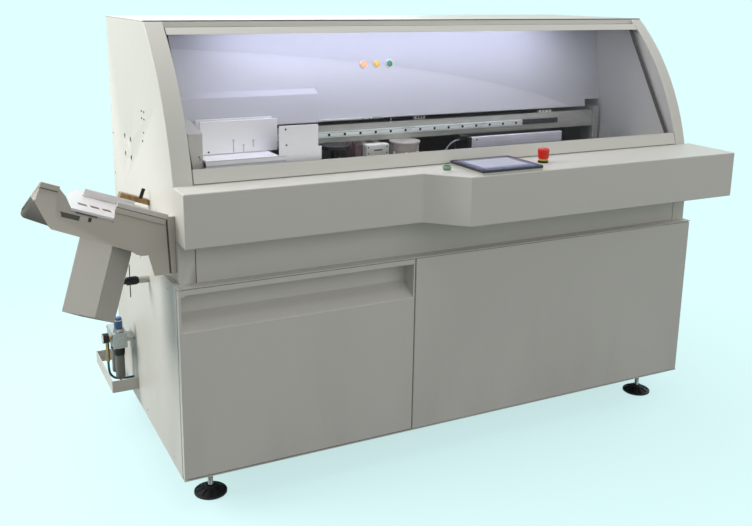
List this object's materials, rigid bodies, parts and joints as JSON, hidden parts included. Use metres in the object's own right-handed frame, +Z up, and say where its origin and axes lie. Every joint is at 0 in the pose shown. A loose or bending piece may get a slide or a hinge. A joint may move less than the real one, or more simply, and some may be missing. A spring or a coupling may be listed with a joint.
{
  "type": "perfect binding machine",
  "caption": "Floor-standing perfect binding machine with a curved clear safety cover, a travelling book clamp, a control console, cabinet doors and a side cover hopper.",
  "frame": {"origin": "on the floor, under the middle of the machine's overall box", "axes": "+Z up, +X to the right along the cabinet as its operator sees it, -Y towards the operator"},
  "size_m": [2.3036, 1.026, 1.402],
  "materials": {
    "body_grey": "satin powder coat",
    "bay_grey": "satin powder coat",
    "frame_black": "matt paint",
    "black_rubber": "matt moulded plastic",
    "steel": "ground steel",
    "aluminium": "brushed",
    "clear_sheet": "clear polycarbonate",
    "dark_bar": "satin",
    "lamp_white": "diffuser",
    "amber": "lit lens",
    "yellow": "lens",
    "green": "lens",
    "red": "moulded",
    "button_green": "moulded",
    "white_plastic": "moulded",
    "screen_dark": "satin",
    "screen_face": "gloss",
    "white_paint": "satin",
    "hopper_grey": "satin powder coat",
    "table_white": "satin powder coat",
    "cast_grey": "machined",
    "brass": "turned",
    "black_plastic": "moulded",
    "knob_blue": "moulded",
    "air_silver": "die cast",
    "bowl_grey": "moulded",
    "hose_teal": "polyurethane",
    "cable_grey": "sheathed"
  },
  "bodies": {
    "machine": {"air_bowls_and_gauge": "bowl_grey", "air_fittings": "brass", "air_guard_and_switch_boss": "body_grey", "air_hose": "hose_teal", "air_unit_body": "air_silver", "amber_lamp_lens": "amber", "band_front_panel": "body_grey", "base_frame": "frame_black", "bay_back_panel": "bay_grey", "button_housings": "white_plastic", "cabinet_back_panel": "body_grey", "cabinet_floor_and_top": "body_grey", "cabinet_left_panel": "body_grey", "cabinet_right_panel": "body_grey", "ceiling_light_bar": "lamp_white", "console_shell": "body_grey", "cover_joggler": "brass", "cutter_motor_and_hood": "cast_grey", "glue_drive_block": "aluminium", "glue_premelter": "steel", "glue_tank": "cast_grey", "green_lamp_lens": "green", "guide_beam": "aluminium", "hinge_pins": "steel", "hopper_feed_table": "table_white", "hopper_front_plate": "hopper_grey", "lamp_bezels": "steel", "left_side_casing": "body_grey", "levelling_feet": "black_rubber", "linear_rail": "steel", "loading_ledge": "white_paint", "loading_stop_block": "body_grey", "machine_bed": "body_grey", "nip_sensor_cable": "cable_grey", "nip_table": "frame_black", "right_side_casing": "body_grey", "roof_panel": "body_grey", "screen_frame": "screen_dark", "screen_glass": "screen_face", "upper_rear_cover": "body_grey", "waste_duct": "hopper_grey", "yellow_lamp_lens": "yellow"},
    "safety_cover": {"cover_top_rail": "body_grey", "cover_window": "clear_sheet", "cover_bottom_rail": "body_grey", "cover_braces": "dark_bar"},
    "left_door": {"left_door": "body_grey"},
    "right_door": {"right_door": "body_grey"},
    "clamp_carriage": {"clamp_carriage": "white_paint"},
    "clamp_front_jaw": {"clamp_front_jaw": "white_paint"},
    "spine_cutter": {"spine_cutter": "steel"},
    "first_glue_roller": {"first_glue_roller": "steel"},
    "second_glue_roller": {"second_glue_roller": "steel"},
    "front_nip_bar": {"front_nip_bar": "aluminium"},
    "rear_nip_bar": {"rear_nip_bar": "aluminium"},
    "start_button": {"start_button": "button_green"},
    "emergency_stop_button": {"emergency_stop_button": "red"},
    "switch_knob": {"switch_knob": "black_plastic"},
    "air_regulator_knob": {"air_regulator_knob": "knob_blue"},
    "hopper_side_guide": {"hopper_side_guide": "table_white"}
  },
  "joints": [
    {"name": "cover_hinge", "type": "hinge", "parent": "machine", "child": "safety_cover", "pos_m": [0.19128, -0.031, 1.377], "axis": [-1, 0, 0], "range_deg": [0, 80]},
    {"name": "left_door_hinge", "type": "hinge", "parent": "machine", "child": "left_door", "pos_m": [-0.76122, -0.356, 0.3975], "axis": [0, 0, -1], "range_deg": [0, 100]},
    {"name": "right_door_hinge", "type": "hinge", "parent": "machine", "child": "right_door", "pos_m": [1.11678, -0.356, 0.3975], "axis": [0, 0, 1], "range_deg": [0, 100]},
    {"name": "clamp_travel", "type": "slide", "parent": "machine", "child": "clamp_carriage", "axis": [1, 0, 0], "range_m": [0, 1.02]},
    {"name": "jaw_opening", "type": "slide", "parent": "clamp_carriage", "child": "clamp_front_jaw", "axis": [0, -1, 0], "range_m": [0, 0.04]},
    {"name": "cutter_spin", "type": "hinge", "parent": "machine", "child": "spine_cutter", "pos_m": [-0.10722, 0.056, 0.983], "axis": [0, 0, 1], "continuous": true},
    {"name": "first_roller_spin", "type": "hinge", "parent": "machine", "child": "first_glue_roller", "pos_m": [0.01478, 0.028, 0.962], "axis": [0, 1, 0], "continuous": true},
    {"name": "second_roller_spin", "type": "hinge", "parent": "machine", "child": "second_glue_roller", "pos_m": [0.06078, 0.028, 0.962], "axis": [0, 1, 0], "continuous": true},
    {"name": "front_nip", "type": "slide", "parent": "machine", "child": "front_nip_bar", "axis": [0, 1, 0], "range_m": [0, 0.008]},
    {"name": "rear_nip", "type": "slide", "parent": "machine", "child": "rear_nip_bar", "axis": [0, -1, 0], "range_m": [0, 0.008]},
    {"name": "start_press", "type": "slide", "parent": "machine", "child": "start_button", "axis": [0, 0, -1], "range_m": [0, 0.004], "stiffness_N_per_m": 500, "springref_m": -0.002},
    {"name": "emergency_stop_press", "type": "slide", "parent": "machine", "child": "emergency_stop_button", "axis": [0, 0, -1], "range_m": [0, 0.004], "stiffness_N_per_m": 1500, "springref_m": -0.002},
    {"name": "switch_turn", "type": "hinge", "parent": "machine", "child": "switch_knob", "pos_m": [-0.80322, -0.016, 0.618], "axis": [1, 0, 0], "range_deg": [0, 90]},
    {"name": "regulator_turn", "type": "hinge", "parent": "machine", "child": "air_regulator_knob", "pos_m": [-0.82522, 0.239, 0.362], "axis": [0, 0, 1], "range_deg": [-360, 360]},
    {"name": "side_guide_slide", "type": "slide", "parent": "machine", "child": "hopper_side_guide", "axis": [0, -1, 0], "range_m": [0, 0.15]}
  ],
  "couplings": [
    {"joint": "second_roller_spin", "follows": "first_roller_spin", "ratio": 1},
    {"joint": "rear_nip", "follows": "front_nip", "ratio": 1}
  ]
}
